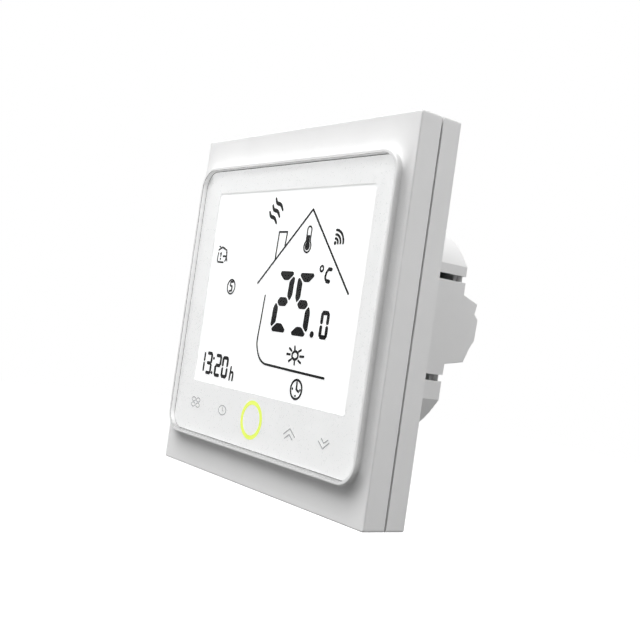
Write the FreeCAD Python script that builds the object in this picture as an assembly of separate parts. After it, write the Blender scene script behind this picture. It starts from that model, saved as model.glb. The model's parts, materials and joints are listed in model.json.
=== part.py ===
"""Flush-mounted wall thermostat with a touch display, built as separate pieces.

Frame (millimetres): the origin is the middle of the two wall-screw slots, in the wall plane.
+X is to the right seen from the room, +Y goes into the wall and +Z is up.
The front faces -Y, so everything the room sees has a negative y.
"""
import FreeCAD, Part
import math
import os

V = FreeCAD.Vector

# ---------------------------------------------------------------- driving dimensions
PLATE = 86.0                    # square outline of both frames
HALF = PLATE / 2
WALL = 1.8                      # moulded side walls of the frames
SEAM = 0.55                     # shadow gap between the front frame and the base frame
BASE_DEPTH = 4.85               # base frame, from the wall to the shadow gap
FRONT_FACE = -10.9              # y of the flat border of the front frame
LENS_FACE = -13.1               # y of the touch lens and of the rim around it
CORNER = 0.6                    # outer vertical corners of the frames
SOFT_EDGE = 0.35                # front edges of the border and of the rim

LENS_HALF_W = 39.45
LENS_HALF_H = 34.2
LENS_CORNER = 4.6
LENS_T = 1.2
LENS_GAP = 0.1                  # joint line between lens and rim
BOND_T = 0.02                   # glue line between the lens and its print
RIM_W = 0.85                    # wall around the lens
COVE_SIDE = 1.5                 # width of the hollow cove beside the rim
COVE_END = 6.5                  # width of the cove above and below the rim
COVE_RISE = 0.9                 # how far the cove climbs up the rim
COVE_STEPS = 8                  # sections that carry the cove's curve
FILM_T = 0.15
TAPE_T = 0.2
TAPE_W = 1.4

WINDOW = (-31.6, 33.0, -20.9, 28.2)      # display window: x low, x high, z low, z high
KEY_Z = -27.1
KEY_X = (-28.8, -15.2, -1.75, 14.5, 27.4)
RING_X = KEY_X[2]
RING_OUT = 4.55
RING_IN = 3.75

LCD = (-34.8, 34.8, -21.3, 31.2)         # display glass outline
GUIDE = (-33.5, 33.5, -21.2, 28.8)       # light guide outline
BOARD_FRONT = -7.2                       # component side of the control board, facing the display
BOARD_T = 1.2
BOARD_BACK = BOARD_FRONT + BOARD_T
COVER_IN = -3.6                          # inner face of the module's back cover
COVER_OUT = -2.8
COVER_HALF = 40.4
PILLAR = 36.6                            # corner pillars: x and z distance from the middle

STEEL_FRONT = -2.5
STEEL_BACK = -1.5
STEEL_HALF = 37.0
SLOT_PITCH = 60.0                        # wall-screw slots, centre to centre
SLOT_R = 2.1
SLOT_LENGTH = 7.0

BOX_HALF = 24.0                          # flat sides of the power box
BOX_R = 28.9                             # its round top and bottom
BOX_WALL = 1.8
FLANGE = 1.6
LID_IN = -0.1
BOSS_X = 15.0
BOSS_Z = 20.5
BOSS_R = 2.8
UPPER_BACK = 26.3                        # depth behind the wall plane, upper part
MIDDLE_BACK = 26.4
LOWER_BACK = 23.0
GROOVE_H = 1.5                           # cooling grooves and the side slots that meet them
GROOVE_D = 1.15
GROOVE_WEB = 0.3                         # wall between a side slot and its groove
GROOVE_Z = (12.3, -11.7)                 # lower edge of each groove
SIDE_SLOT_START = 6.0

PIN_PITCH = 2.54
PIN_COUNT = 6
PIN_Z = 3.0
PIN_R = 0.32

POWER_BOARD = (17.4, 19.0)               # y of the power board's two faces
TERMINALS = 6
TERMINAL_PITCH = 7.0
TERMINAL_Y = 25.9                        # axis of the clamp screws
SCREW_R = 1.45
HEAD_R = 2.0
CAGE_HALF_W = 2.55
CAGE_WALL = 0.6
CAGE_Y = (23.9, 27.9)
CAGE_Z = (-1.7, 5.3)                     # open position
BUSBAR_Z = (0.0, 0.8)
WIRE_WINDOW_HALF_W = 2.3
WIRE_WINDOW_Z = (0.5, 4.9)

RELAY = (1.7, 20.7, -16.75, -1.25)       # relay outline: x low, x high, z low, z high
RELAY_Y = (1.2, 16.2)
RELAY_WALL = 0.8
RELAY_COIL = (9.5, -9.0)
ARMATURE_Y = 3.8                         # face of the resting armature towards the coil
ARMATURE_PIVOT = (15.1, 3.9)             # x and y of the line that the armature rocks on
PIVOT_R = 0.45
PIVOT_GAP = 0.05
POLE_Y = 4.5

OUT = "parts"


# ---------------------------------------------------------------- shape helpers
def box(x0, x1, y0, y1, z0, z1):
    """Block between two corners."""
    return Part.makeBox(x1 - x0, y1 - y0, z1 - z0, V(x0, y0, z0))


def disc_y(x, z, radius, y0, y1):
    """Cylinder along Y."""
    return Part.makeCylinder(radius, y1 - y0, V(x, y0, z), V(0, 1, 0))


def disc_z(x, y, radius, z0, z1):
    """Cylinder along Z."""
    return Part.makeCylinder(radius, z1 - z0, V(x, y, z0), V(0, 0, 1))


def fuse(shapes):
    """One solid from overlapping or touching shapes."""
    first = shapes[0]
    return first.fuse(shapes[1:]).removeSplitter() if len(shapes) > 1 else first


def cut(shape, tools):
    """Shape with every tool taken away."""
    return shape.cut(tools)


def rounded_wire(half_w, half_h, radius, y, cx=0.0, cz=0.0):
    """Rounded rectangle in the plane at y."""
    x0, x1, z0, z1 = cx - half_w, cx + half_w, cz - half_h, cz + half_h
    diagonal = radius * (1 - math.sqrt(0.5))
    edges = []
    corners = (
        (V(x0, y, z0 + radius), V(x0 + diagonal, y, z0 + diagonal), V(x0 + radius, y, z0)),
        (V(x1 - radius, y, z0), V(x1 - diagonal, y, z0 + diagonal), V(x1, y, z0 + radius)),
        (V(x1, y, z1 - radius), V(x1 - diagonal, y, z1 - diagonal), V(x1 - radius, y, z1)),
        (V(x0 + radius, y, z1), V(x0 + diagonal, y, z1 - diagonal), V(x0, y, z1 - radius)),
    )
    for index, (start, middle, end) in enumerate(corners):
        edges.append(Part.Arc(start, middle, end).toShape())
        edges.append(Part.LineSegment(end, corners[(index + 1) % 4][0]).toShape())
    return Part.Wire(edges)


def rounded_block(half_w, half_h, radius, y0, y1, cx=0.0, cz=0.0):
    """Rounded rectangle drawn out along Y."""
    face = Part.Face(rounded_wire(half_w, half_h, radius, y0, cx, cz))
    return face.extrude(V(0, y1 - y0, 0))


def rounded_span(span, radius, y0, y1, grow=0.0):
    """Rounded block from an (x low, x high, z low, z high) outline."""
    x0, x1, z0, z1 = span
    half_w = (x1 - x0) / 2 + grow
    half_h = (z1 - z0) / 2 + grow
    return rounded_block(half_w, half_h, radius, y0, y1, (x0 + x1) / 2, (z0 + z1) / 2)


def span_box(span, y0, y1, grow=0.0):
    """Square-cornered block from an (x low, x high, z low, z high) outline."""
    x0, x1, z0, z1 = span
    return box(x0 - grow, x1 + grow, y0, y1, z0 - grow, z1 + grow)


def drum(half_w, radius, y0, y1):
    """Block with flat sides at +-half_w and a round top and bottom about the middle."""
    z = math.sqrt(radius ** 2 - half_w ** 2)
    edges = [
        Part.Arc(V(-half_w, y0, z), V(0, y0, radius), V(half_w, y0, z)).toShape(),
        Part.LineSegment(V(half_w, y0, z), V(half_w, y0, -z)).toShape(),
        Part.Arc(V(half_w, y0, -z), V(0, y0, -radius), V(-half_w, y0, -z)).toShape(),
        Part.LineSegment(V(-half_w, y0, -z), V(-half_w, y0, z)).toShape(),
    ]
    return Part.Face(Part.Wire(edges)).extrude(V(0, y1 - y0, 0))


def side_prism(points, x0, x1):
    """Side outline given as (y, z) points, drawn out along X."""
    corners = [V(x0, y, z) for y, z in points]
    face = Part.Face(Part.makePolygon(corners + corners[:1]))
    return face.extrude(V(x1 - x0, 0, 0))


def slot_cut(cx, radius, length, y0, y1):
    """Slot along X with round ends."""
    reach = length / 2 - radius
    ends = [disc_y(cx + side * reach, 0, radius, y0, y1) for side in (-1, 1)]
    return fuse(ends + [box(cx - reach, cx + reach, y0, y1, -radius, radius)])


def soften(shape, radius, keep):
    """Round the edges that the keep test picks."""
    return shape.makeFillet(radius, [edge for edge in shape.Edges if keep(edge)])


def runs_along(edge, axis):
    """True for a straight edge along the given axis."""
    if edge.Curve.TypeId != "Part::GeomLine":
        return False
    direction = edge.tangentAt(edge.FirstParameter)
    return abs(direction.dot(axis)) > 0.999


def lies_at(edge, y):
    """True for an edge that lies in the plane at y."""
    bounds = edge.BoundBox
    return abs(bounds.YMin - y) < 1e-4 and abs(bounds.YMax - y) < 1e-4


def on_flank(edge):
    """True for an edge of the power box's flat sides, clear of the wall plane."""
    bounds = edge.BoundBox
    flat = abs(abs(bounds.XMin) - BOX_HALF) < 1e-4 and abs(bounds.XMax - bounds.XMin) < 1e-4
    return flat and bounds.YMin > 1.0 and not runs_along(edge, V(0, 1, 0))


def on_round_back(edge):
    """True for the curved rear edges of the power box's round ends."""
    bounds = edge.BoundBox
    return edge.Curve.TypeId == "Part::GeomCircle" and bounds.YMin > 1.0


def four_ways(x, z):
    """The four places mirrored about the middle."""
    return [(sx * x, sz * z) for sx in (-1, 1) for sz in (-1, 1)]


def terminal_places():
    """Terminal positions along X."""
    start = -(TERMINALS - 1) / 2 * TERMINAL_PITCH
    return [start + index * TERMINAL_PITCH for index in range(TERMINALS)]


def pin_places():
    """Header pin positions along X."""
    start = -(PIN_COUNT - 1) / 2 * PIN_PITCH
    return [start + index * PIN_PITCH for index in range(PIN_COUNT)]


# ---------------------------------------------------------------- front module
def front_frame():
    """Square bezel with the raised rim, its hollow cove, and the pillars behind it."""
    slab = box(-HALF, HALF, FRONT_FACE, -BASE_DEPTH - SEAM, -HALF, HALF)
    slab = soften(slab, CORNER, lambda edge: runs_along(edge, V(0, 1, 0)))
    slab = soften(slab, SOFT_EDGE, lambda edge: lies_at(edge, FRONT_FACE))
    rim_w = LENS_HALF_W + LENS_GAP + RIM_W
    rim_h = LENS_HALF_H + LENS_GAP + RIM_W
    rim_corner = LENS_CORNER + LENS_GAP + RIM_W
    cove_wires = []
    for step in range(COVE_STEPS + 1):
        angle = math.radians(90 - 90 * step / COVE_STEPS)
        wide = rim_w + COVE_SIDE * (1 - math.cos(angle))
        tall = rim_h + COVE_END * (1 - math.cos(angle))
        front = FRONT_FACE - COVE_RISE * (1 - math.sin(angle))
        cove_wires.append(rounded_wire(wide, tall, rim_corner, front))
    cove = Part.makeLoft(cove_wires, True, False, False, 3)
    rim = rounded_block(rim_w, rim_h, rim_corner, LENS_FACE, FRONT_FACE - COVE_RISE)
    rim = soften(rim, SOFT_EDGE, lambda edge: lies_at(edge, LENS_FACE))
    body = fuse([slab, cove, rim])
    inner = HALF - WALL
    seat = LENS_FACE + LENS_T + FILM_T + TAPE_T
    pocket = rounded_block(LENS_HALF_W + LENS_GAP, LENS_HALF_H + LENS_GAP,
                           LENS_CORNER + LENS_GAP, LENS_FACE - 1, seat)
    ledge = LENS_HALF_W - 1.85
    opening = rounded_block(ledge, LENS_HALF_H - 1.8, 1.0, seat - 1, FRONT_FACE + 3)
    cavity = box(-inner, inner, FRONT_FACE + 1.5, 0, -inner, inner)
    body = cut(body, [pocket, opening, cavity])
    pillars = [disc_y(x, z, 2.6, FRONT_FACE + 1.4, COVER_IN - 2.35) for x, z in four_ways(PILLAR, PILLAR)]
    body = fuse([body] + pillars)
    screw_holes = [disc_y(x, z, 1.0, FRONT_FACE + 2.2, 0) for x, z in four_ways(PILLAR, PILLAR)]
    vents = [box(x - 1.6, x + 1.6, -8.4, -7.4, -HALF - 1, -inner + 1)
             for x in (-26.0, -21.5, -17.0, -12.5, -8.0)]
    pry = [box(x - 4, x + 4, -BASE_DEPTH - SEAM - 0.9, 0, -HALF - 1, -HALF + 1.0) for x in (-24.0, 24.0)]
    return cut(body, screw_holes + vents + pry)


def touch_lens():
    """Clear front sheet."""
    back = LENS_FACE + LENS_T - BOND_T
    sheet = rounded_block(LENS_HALF_W, LENS_HALF_H, LENS_CORNER, LENS_FACE, back)
    return sheet.makeChamfer(0.12, [edge for edge in sheet.Edges if lies_at(edge, LENS_FACE)])


def lens_film():
    """Printed film behind the lens, open at the display and at the ring."""
    front = LENS_FACE + LENS_T
    back = front + FILM_T
    sheet = rounded_block(LENS_HALF_W - 0.2, LENS_HALF_H - 0.2, LENS_CORNER - 0.2, front, back)
    window = rounded_span(WINDOW, 0.6, front - 1, back + 1)
    ring = disc_y(RING_X, KEY_Z, RING_OUT, front - 1, back + 1)
    core = disc_y(RING_X, KEY_Z, RING_IN, front, back)
    return Part.makeCompound([cut(sheet, [window, ring]), core])


def lens_tape():
    """Adhesive ring between the film and the frame's ledge."""
    front = LENS_FACE + LENS_T + FILM_T
    outer = rounded_block(LENS_HALF_W - 0.2, LENS_HALF_H - 0.2, LENS_CORNER - 0.2, front, front + TAPE_T)
    inner = rounded_block(LENS_HALF_W - 0.2 - TAPE_W, LENS_HALF_H - 0.2 - TAPE_W, 3.2,
                          front - 1, front + 1)
    return cut(outer, [inner])


def lcd_glass():
    """Two bonded glass plates; the front one is taller and carries the contacts."""
    x0, x1, z0, z1 = LCD
    front = box(x0, x1, -11.5, -10.8, z0, z1)
    rear = box(x0, x1, -10.8, -10.1, z0, z1 - 1.8)
    return fuse([front, rear])


def lcd_polarizers():
    """Polarizing films on both faces of the display glass."""
    x0, x1, z0, z1 = LCD
    films = [box(x0 + 0.6, x1 - 0.6, y, y + 0.15, z0 + 0.2, z1 - 2.2) for y in (-11.65, -10.1)]
    return Part.makeCompound(films)


def lcd_connector():
    """Striped rubber strip from the glass contacts to the board."""
    return box(-30.0, 30.0, -10.78, BOARD_FRONT, LCD[3] - 1.5, LCD[3] - 0.1)


def backlight_diffuser():
    """Frosted sheet in front of the light guide."""
    return span_box(GUIDE, -9.9, -9.7)


def backlight_guide():
    """Edge-lit acrylic plate."""
    return span_box(GUIDE, -9.65, -7.85)


def backlight_reflector():
    """White sheet behind the light guide."""
    return span_box(GUIDE, -7.8, -7.65)


def backlight_leds():
    """Strip along the left edge of the light guide, with its lamps."""
    strip = box(-34.85, -34.35, -9.6, -7.9, -15.0, 25.0)
    lamps = [box(-34.35, -33.55, -9.5, -8.0, z - 1.4, z + 1.4) for z in range(-12, 25, 6)]
    return fuse([strip] + lamps)


def lcd_holder():
    """White frame that carries the light guide and the display glass."""
    x0, x1, z0, z1 = LCD
    outer = box(x0 - 1.6, x1 + 1.6, -11.0, -7.35, z0 - 0.7, z1 + 1.0)
    well = box(x0 - 0.1, x1 + 0.1, -12, -7.6, z0 - 0.1, z1 + 0.1)
    floor_hole = box(GUIDE[0] + 0.8, GUIDE[1] - 0.8, -8, -7, GUIDE[2] + 0.8, GUIDE[3] - 0.8)
    strip_slot = box(-30.1, 30.1, -8, -7, LCD[3] - 1.6, LCD[3])
    pegs = [disc_y(x, z, 0.6, -7.5, BOARD_BACK + 0.2) for x in (-35.6, 35.6) for z in (-10.0, 20.0)]
    return fuse([cut(outer, [well, floor_hole, strip_slot])] + pegs)


def control_board():
    """Circuit board behind the display, cut back at the pillars."""
    sheet = box(-39.4, 39.4, BOARD_FRONT, BOARD_BACK, -38.0, 37.0)
    holes = [disc_y(x, z, 3.0, -8, -5) for x, z in four_ways(PILLAR, PILLAR)]
    holes += [disc_y(x, PIN_Z, PIN_R + 0.04, -8, -5) for x in pin_places()]
    holes += [disc_y(x, z, 0.66, -8, -5) for x in (-35.6, 35.6) for z in (-10.0, 20.0)]
    corners = [box(sx * 38 - 2, sx * 38 + 2, -8, -5, sz * 38 - 3, sz * 38 + 3)
               for sx in (-1, 1) for sz in (-1, 1)]
    return cut(sheet, holes + corners)


def main_chip():
    """Flat square chip with leads on four sides."""
    cx, cz = -13.0, 14.0
    body = rounded_block(5.0, 5.0, 0.3, BOARD_BACK + 0.1, BOARD_BACK + 1.3, cx, cz)
    leads = []
    for index in range(11):
        offset = (index - 5) * 0.8
        across = (cx - 6, cx + 6, cz + offset - 0.15, cz + offset + 0.15)
        upright = (cx + offset - 0.15, cx + offset + 0.15, cz - 6, cz + 6)
        leads += [span_box(span, BOARD_BACK, BOARD_BACK + 0.3) for span in (across, upright)]
    return fuse([body] + leads)


def wifi_board():
    """Small radio board with its printed aerial end."""
    return rounded_span((10.0, 34.0, 16.0, 32.0), 0.5, BOARD_BACK, BOARD_BACK + 0.6)


def wifi_shield():
    """Metal can on the radio board."""
    can = rounded_span((11.0, 26.0, 18.0, 30.0), 0.6, BOARD_BACK + 0.6, BOARD_BACK + 2.2)
    hollow = rounded_span((11.2, 25.8, 18.2, 29.8), 0.4, BOARD_BACK, BOARD_BACK + 2.0)
    return cut(can, [hollow])


def touch_pads():
    """Conductive foam columns from the board to the back of the film, one behind each key."""
    pads = []
    for x in KEY_X:
        radius = 2.9 if x == RING_X else 3.5
        pads.append(disc_y(x, KEY_Z, radius, LENS_FACE + LENS_T + FILM_T + 0.03, BOARD_FRONT))
    return Part.makeCompound(pads)


def key_light_ring():
    """Clear tube that brings light to the ring around the middle key."""
    tube = disc_y(RING_X, KEY_Z, RING_OUT - 0.03, LENS_FACE + LENS_T + 0.02, -8.0)
    return cut(tube, [disc_y(RING_X, KEY_Z, RING_IN + 0.03, -13, -7)])


def key_leds():
    """Lamps on the board under the light ring."""
    lamps = []
    radius = (RING_OUT + RING_IN) / 2
    for index in range(4):
        angle = math.radians(45 + 90 * index)
        x = RING_X + radius * math.cos(angle)
        z = KEY_Z + radius * math.sin(angle)
        lamps.append(box(x - 0.5, x + 0.5, BOARD_FRONT - 0.6, BOARD_FRONT, z - 0.5, z + 0.5))
    return Part.makeCompound(lamps)


def room_sensor():
    """Temperature bead on two leads at the board's lower edge, above the vents."""
    bead = disc_y(-17.0, -39.6, 1.0, -8.9, -7.0)
    bead = soften(bead, 0.6, lambda edge: edge.Length > 4)
    leads = [box(-17.0 + s * 0.5 - 0.2, -17.0 + s * 0.5 + 0.2, -8.1, BOARD_FRONT, -39.2, -37.0)
             for s in (-1, 1)]
    return fuse([bead] + leads)


def pin_header():
    """Plastic strip that holds the plug pins on the back of the control board."""
    reach = PIN_COUNT * PIN_PITCH / 2
    strip = box(-reach, reach, BOARD_BACK, BOARD_BACK + 2.4, PIN_Z - 1.25, PIN_Z + 1.25)
    return cut(strip, [disc_y(x, PIN_Z, PIN_R, -7, 0) for x in pin_places()])


def plug_pins():
    """Gold pins that carry power and signals to the base."""
    return Part.makeCompound([disc_y(x, PIN_Z, PIN_R - 0.01, BOARD_FRONT + 0.05, 2.2) for x in pin_places()])


def module_back_cover():
    """Tray that closes the back of the front module, with its four hooks."""
    outer = rounded_block(COVER_HALF, COVER_HALF, 1.0, -5.85, COVER_OUT)
    hollow = rounded_block(COVER_HALF - 1.2, COVER_HALF - 1.2, 0.6, -6.5, COVER_IN)
    tray = cut(outer, [hollow])
    bosses = [disc_y(x, z, 2.9, -5.85, COVER_OUT) for x, z in four_ways(PILLAR, PILLAR)]
    hooks = []
    for x, z in four_ways(20.0, 33.6):
        side = math.copysign(1, z)
        profile = [(COVER_OUT - 0.2, z - side * 0.6), (-0.5, z - side * 0.6), (-0.5, z + side * 0.4),
                   (-1.3, z + side * 1.0), (-1.3, z + side * 0.6), (COVER_OUT - 0.2, z + side * 0.6)]
        hooks.append(side_prism(profile, x - 3.5, x + 3.5))
    body = fuse([tray] + bosses + hooks)
    tools = [disc_y(x, z, 1.1, -7, 0) for x, z in four_ways(PILLAR, PILLAR)]
    tools += [disc_y(x, z, 2.1, -4.2, 0) for x, z in four_ways(PILLAR, PILLAR)]
    tools += [disc_y(x, z, 3.4, -7, 0) for x, z in four_ways(BOSS_X, BOSS_Z)]
    tools += [slot_cut(side * SLOT_PITCH / 2, 4.6, 12.5, -7, 0) for side in (-1, 1)]
    tools.append(box(-8.6, 8.6, -7, 0, PIN_Z - 2.0, PIN_Z + 2.0))
    return cut(body, tools)


def pan_screw(x, z, head_front, head_r, head_t, shank_r, length):
    """Cross-head screw whose head faces +Y and whose shank points to -Y."""
    head = disc_y(x, z, head_r, head_front - head_t, head_front)
    head = soften(head, head_t * 0.45, lambda edge: lies_at(edge, head_front))
    shank = disc_y(x, z, shank_r, head_front - head_t - length, head_front - head_t)
    bars = [box(x - 1.0, x + 1.0, head_front - 0.6, head_front + 1, z - 0.22, z + 0.22),
            box(x - 0.22, x + 0.22, head_front - 0.6, head_front + 1, z - 1.0, z + 1.0)]
    return cut(fuse([head, shank]), bars)


def cover_screws():
    """Screws that close the front module."""
    return Part.makeCompound([pan_screw(x, z, -2.95, 1.9, 1.2, 0.98, 4.2)
                              for x, z in four_ways(PILLAR, PILLAR)])


# ---------------------------------------------------------------- base on the wall
def wall_slots(y0, y1):
    """The two slots for the wall screws."""
    return [slot_cut(side * SLOT_PITCH / 2, SLOT_R, SLOT_LENGTH, y0, y1) for side in (-1, 1)]


def hook_windows(grow, y0, y1):
    """Clearance for the module's hooks."""
    return [box(x - 4.2 - grow, x + 4.2 + grow, y0, y1, z - 1.6 - grow, z + 1.6 + grow)
            for x, z in four_ways(20.0, 33.8)]


def base_frame():
    """Square tray behind the front frame, flat against the wall."""
    slab = box(-HALF, HALF, -BASE_DEPTH, 0, -HALF, HALF)
    slab = soften(slab, CORNER, lambda edge: runs_along(edge, V(0, 1, 0)))
    inner = HALF - WALL
    cavity = box(-inner, inner, -6, STEEL_BACK, -inner, inner)
    mouth = drum(BOX_HALF + FLANGE + 0.2, BOX_R + FLANGE + 0.2, -6, 1)
    pegs = [disc_y(x, z, 1.4, STEEL_FRONT + 0.05, STEEL_BACK + 0.2) for x, z in four_ways(33.5, 18.0)]
    body = fuse([cut(slab, [cavity, mouth])] + pegs)
    return cut(body, wall_slots(-6, 1) + hook_windows(0.3, -6, 1))


def mounting_plate():
    """Steel plate that ties the power box and the base frame to the wall."""
    sheet = rounded_block(STEEL_HALF, STEEL_HALF, 3.0, STEEL_FRONT, STEEL_BACK)
    tools = wall_slots(-4, 0) + hook_windows(0.0, -4, 0)
    tools += [disc_y(x, z, 1.7, -4, 0) for x, z in four_ways(BOSS_X, BOSS_Z)]
    tools += [disc_y(x, z, 1.5, -4, 0) for x, z in four_ways(33.5, 18.0)]
    tools.append(rounded_block(9.2, 3.0, 1.0, -4, 0, 0, PIN_Z))
    return cut(sheet, tools)


def plate_screws():
    """Screws from the steel plate into the power box."""
    screws = []
    for x, z in four_ways(BOSS_X, BOSS_Z):
        screw = pan_screw(0, 0, 0, 2.7, 1.0, 1.22, 9.0)
        screw.rotate(V(0, 0, 0), V(0, 0, 1), 180)
        screw.translate(V(x, STEEL_FRONT - 1.0, z))
        screws.append(screw)
    return Part.makeCompound(screws)


def box_outline():
    """Side outline of the power box as (y, z), from the top round to the bottom."""
    return [
        (0, BOX_R), (UPPER_BACK, BOX_R), (UPPER_BACK, GROOVE_Z[0] + GROOVE_H),
        (UPPER_BACK - GROOVE_D, GROOVE_Z[0] + GROOVE_H), (UPPER_BACK - GROOVE_D, GROOVE_Z[0]),
        (MIDDLE_BACK, GROOVE_Z[0]), (MIDDLE_BACK, 9.5), (31.3, 7.9), (30.8, 5.4), (32.1, 4.1),
        (31.9, -0.9), (30.6, -3.0), (29.1, -6.5), (23.2, -7.5), (23.1, GROOVE_Z[1] + GROOVE_H),
        (LOWER_BACK - GROOVE_D, GROOVE_Z[1] + GROOVE_H), (LOWER_BACK - GROOVE_D, GROOVE_Z[1]),
        (LOWER_BACK, GROOVE_Z[1]), (LOWER_BACK, -BOX_R), (0, -BOX_R),
    ]


def box_hollow_outline():
    """Side outline of the space inside the power box as (y, z)."""
    inner_r = BOX_R - BOX_WALL
    return [
        (-2, inner_r), (23.8, inner_r), (23.8, 8.4), (28.9, 6.6), (29.4, 3.4), (29.4, -1.6),
        (27.6, -5.4), (20.5, -6.1), (20.5, -inner_r), (-2, -inner_r),
    ]


def power_box_shell():
    """Moulded box that goes into the wall: round ends, flat sides and the terminal hump."""
    body = drum(BOX_HALF, BOX_R, 0, 40).common(side_prism(box_outline(), -30, 30))
    body = soften(body, 0.3, lambda edge: on_flank(edge) or on_round_back(edge))
    flange = drum(BOX_HALF + FLANGE, BOX_R + FLANGE, STEEL_BACK, 0.0)
    hollow = drum(BOX_HALF - BOX_WALL, BOX_R - BOX_WALL, -2, 40)
    hollow = hollow.common(side_prism(box_hollow_outline(), -30, 30))
    rebate = drum(BOX_HALF - 1.0, BOX_R - 0.9, -2, LID_IN)
    shell = cut(fuse([body, flange]), [hollow, rebate])
    bosses = []
    for x, z in four_ways(BOSS_X, BOSS_Z):
        bosses.append(disc_y(x, z, BOSS_R, LID_IN, 12.0))
    rests = [disc_y(x, 17.2, 1.5, POWER_BOARD[1] + 0.05, 24.2) for x in (-18.0, 18.0)]
    rests += [disc_y(x, -17.2, 1.5, POWER_BOARD[1] + 0.05, 21.0) for x in (-18.0, 18.0)]
    shell = fuse([shell] + bosses + rests)
    tools = [disc_y(x, z, 1.25, -2, 10.0) for x, z in four_ways(BOSS_X, BOSS_Z)]
    for z in GROOVE_Z:
        end = (UPPER_BACK if z > 0 else LOWER_BACK) - GROOVE_D - GROOVE_WEB
        tools.append(box(-30, -BOX_HALF + BOX_WALL, SIDE_SLOT_START, end, z, z + GROOVE_H))
        tools.append(box(BOX_HALF - BOX_WALL, 30, SIDE_SLOT_START, end, z, z + GROOVE_H))
    for x in terminal_places():
        tools.append(box(x - WIRE_WINDOW_HALF_W, x + WIRE_WINDOW_HALF_W, 28, 34, *WIRE_WINDOW_Z))
        tools.append(disc_z(x, TERMINAL_Y, 2.3, -9, -5))
    return cut(shell, tools)


def power_box_lid():
    """Flat lid inside the mouth of the power box, under the steel plate."""
    sheet = drum(BOX_HALF - 1.1, BOX_R - 1.0, STEEL_BACK + 0.05, LID_IN)
    tools = [disc_y(x, z, 1.7, -2, 1) for x, z in four_ways(BOSS_X, BOSS_Z)]
    tools.append(box(-8.2, 8.2, -2, 1, PIN_Z - 1.7, PIN_Z + 1.7))
    return cut(sheet, tools)


def power_board():
    """Circuit board across the power box."""
    front, back = POWER_BOARD
    sheet = drum(BOX_HALF - BOX_WALL - 0.3, BOX_R - BOX_WALL - 0.3, front, back)
    tools = [disc_y(x, z, BOSS_R + 0.3, front - 1, back + 1) for x, z in four_ways(BOSS_X, BOSS_Z)]
    tools += [box(x - 1.0, x + 1.0, front - 1, back + 1, BUSBAR_Z[0] - 0.1, BUSBAR_Z[1] + 0.1)
              for x in terminal_places()]
    return cut(sheet, tools)


def riser_board():
    """Upright board from the power board to the socket."""
    return box(-8.0, 8.0, 7.2, POWER_BOARD[0], PIN_Z - 0.6, PIN_Z + 0.6)


def socket_header():
    """Socket strip that takes the plug pins."""
    reach = PIN_COUNT * PIN_PITCH / 2 + 0.1
    strip = box(-reach, reach, -1.2, 7.1, PIN_Z - 1.25, PIN_Z + 1.25)
    return cut(strip, [disc_y(x, PIN_Z, 0.5, -2, 4.0) for x in pin_places()])


def transformer_core():
    """Ferrite core: two E halves around the winding."""
    outer = box(-20.0, -6.0, 6.4, 16.4, 7.0, 15.4)
    windows = [box(-18.0, -14.6, 8.0, 14.8, 6, 17), box(-11.4, -8.0, 8.0, 14.8, 6, 17)]
    return cut(outer, windows)


def transformer_coil():
    """Wound bobbin on the core's middle leg, with its base."""
    winding = rounded_block(4.8, 5.6, 1.5, 8.2, 14.6, -13.0, 11.2)
    flanges = [rounded_block(4.95, 5.9, 0.8, y, y + 0.5, -13.0, 11.2) for y in (8.05, 14.25)]
    leg = box(-14.7, -11.3, 7, 16, 6.9, 15.5)
    return cut(fuse([winding] + flanges), [leg])


def bulk_capacitors():
    """Electrolytic cans standing on the power board."""
    cans = []
    for x in (1.5, 10.5):
        can = disc_y(x, 14.0, 4.0, 4.4, POWER_BOARD[0])
        can = soften(can, 0.5, lambda edge: lies_at(edge, 4.4))
        groove = Part.makeTorus(4.25, 0.45, V(x, 15.6, 14.0), V(0, 1, 0))
        cans.append(cut(can, [groove]))
    return Part.makeCompound(cans)


def film_capacitor():
    """Boxed interference capacitor."""
    block = box(-20.0, -7.5, 6.0, POWER_BOARD[0], -7.0, -1.5)
    return soften(block, 0.5, lambda edge: not lies_at(edge, POWER_BOARD[0]))


def varistor():
    """Surge disc on two leads."""
    disc = disc_z(-14.0, 11.0, 4.2, -13.6, -10.4)
    disc = soften(disc, 0.9, lambda edge: edge.Length > 20)
    leads = [box(-14.0 + s * 2.5 - 0.3, -14.0 + s * 2.5 + 0.3, 12.5, POWER_BOARD[0], -12.3, -11.7)
             for s in (-1, 1)]
    return fuse([disc] + leads)


def fuse_link():
    """Round plug-in fuse."""
    body = disc_y(-4.5, -14.0, 4.0, 10.0, POWER_BOARD[0])
    return soften(body, 0.4, lambda edge: lies_at(edge, 10.0))


# ---------------------------------------------------------------- relay
def relay_case():
    """Five-sided cap over the relay."""
    outer = rounded_span(RELAY, 0.8, *RELAY_Y)
    hollow = rounded_span(RELAY, 0.4, RELAY_Y[0] + RELAY_WALL, RELAY_Y[1] + 1, -RELAY_WALL)
    return cut(outer, [hollow])


def relay_base():
    """Base plate that closes the case, standing on the board."""
    plug = rounded_span(RELAY, 0.4, RELAY_Y[1] - 0.3, RELAY_Y[1], -RELAY_WALL - 0.05)
    foot = rounded_span(RELAY, 0.8, RELAY_Y[1], POWER_BOARD[0])
    return fuse([plug, foot])


def relay_coil():
    """Bobbin and winding around the core."""
    x, z = RELAY_COIL
    parts = [disc_y(x, z, 4.2, 5.6, 14.4), disc_y(x, z, 4.6, 5.4, 5.9), disc_y(x, z, 4.6, 14.1, 14.6)]
    return cut(fuse(parts), [disc_y(x, z, 1.7, 4, 16)])


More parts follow.
